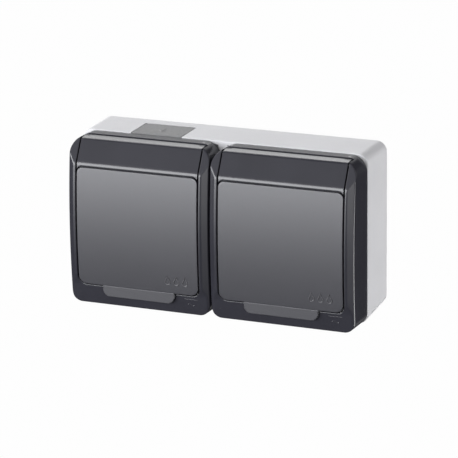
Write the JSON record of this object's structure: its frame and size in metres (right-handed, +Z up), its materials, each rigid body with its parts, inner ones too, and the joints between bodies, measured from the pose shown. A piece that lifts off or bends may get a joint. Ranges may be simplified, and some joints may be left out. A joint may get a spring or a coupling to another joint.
{
  "type": "splash-proof double socket outlet",
  "caption": "Surface-mounted splash-proof double wall socket: grey wall box, dark cover frames with spring-closed hinged lids over round plug wells.",
  "frame": {"origin": "centre of the flat back face that lies on the wall", "axes": "+Z up, +X to the right as seen from the front, +Y into the wall, so the lids face -Y"},
  "size_m": [0.1506, 0.0442, 0.0846],
  "materials": {
    "box_light_grey": "satin moulded, fine grain",
    "entry_grey": "satin moulded",
    "graphite": "semi-gloss moulded",
    "satin_grey": "satin, fine metallic grain",
    "black_rubber": "matt",
    "insert_black": "semi-gloss moulded",
    "shutter_grey": "matt",
    "white_plastic": "matt moulded",
    "brass": "stamped",
    "steel": "zinc plated",
    "blue_pvc": "satin",
    "brown_pvc": "satin",
    "green_pvc": "satin"
  },
  "bodies": {
    "housing": {"base_box": "box_light_grey", "cable_entry_plate": "entry_grey", "cable_entry_seal": "black_rubber", "earth_link_wire": "green_pvc", "left_cover": "graphite", "left_cover_gasket": "black_rubber", "left_earth_pin": "brass", "left_earth_terminal_screw": "steel", "left_first_base_screw": "steel", "left_hinge_pin": "steel", "left_insert_screw": "steel", "left_lid_spring": "steel", "left_line_contact": "brass", "left_line_terminal_screw": "steel", "left_lower_cover_screw": "steel", "left_mechanism_base": "white_plastic", "left_neutral_contact": "brass", "left_neutral_terminal_screw": "steel", "left_second_base_screw": "steel", "left_shutter_spring": "steel", "left_socket_insert": "insert_black", "left_upper_cover_screw": "steel", "line_link_wire": "brown_pvc", "neutral_link_wire": "blue_pvc", "right_cover": "graphite", "right_cover_gasket": "black_rubber", "right_earth_pin": "brass", "right_earth_terminal_screw": "steel", "right_first_base_screw": "steel", "right_hinge_pin": "steel", "right_insert_screw": "steel", "right_lid_spring": "steel", "right_line_contact": "brass", "right_line_terminal_screw": "steel", "right_lower_cover_screw": "steel", "right_mechanism_base": "white_plastic", "right_neutral_contact": "brass", "right_neutral_terminal_screw": "steel", "right_second_base_screw": "steel", "right_shutter_spring": "steel", "right_socket_insert": "insert_black", "right_upper_cover_screw": "steel"},
    "left_lid": {"left_lid": "graphite", "left_lid_gasket": "black_rubber", "left_lid_panel": "satin_grey"},
    "right_lid": {"right_lid": "graphite", "right_lid_gasket": "black_rubber", "right_lid_panel": "satin_grey"},
    "left_shutter": {"left_shutter": "shutter_grey"},
    "right_shutter": {"right_shutter": "shutter_grey"}
  },
  "joints": [
    {"name": "left_lid_hinge", "type": "hinge", "parent": "housing", "child": "left_lid", "pos_m": [-0.0375, -0.0336, 0.0384], "axis": [-1, 0, 0], "range_deg": [0, 100], "stiffness_Nm_per_rad": 0.02, "springref_deg": -57.3},
    {"name": "left_shutter_slide", "type": "slide", "parent": "housing", "child": "left_shutter", "axis": [0, 0, -1], "range_m": [0, 0.0057], "stiffness_N_per_m": 150, "springref_m": -0.004, "deforming": ["left_shutter_spring"]},
    {"name": "right_lid_hinge", "type": "hinge", "parent": "housing", "child": "right_lid", "pos_m": [0.0375, -0.0336, 0.0384], "axis": [-1, 0, 0], "range_deg": [0, 100], "stiffness_Nm_per_rad": 0.02, "springref_deg": -57.3},
    {"name": "right_shutter_slide", "type": "slide", "parent": "housing", "child": "right_shutter", "axis": [0, 0, -1], "range_m": [0, 0.0057], "stiffness_N_per_m": 150, "springref_m": -0.004, "deforming": ["right_shutter_spring"]}
  ]
}
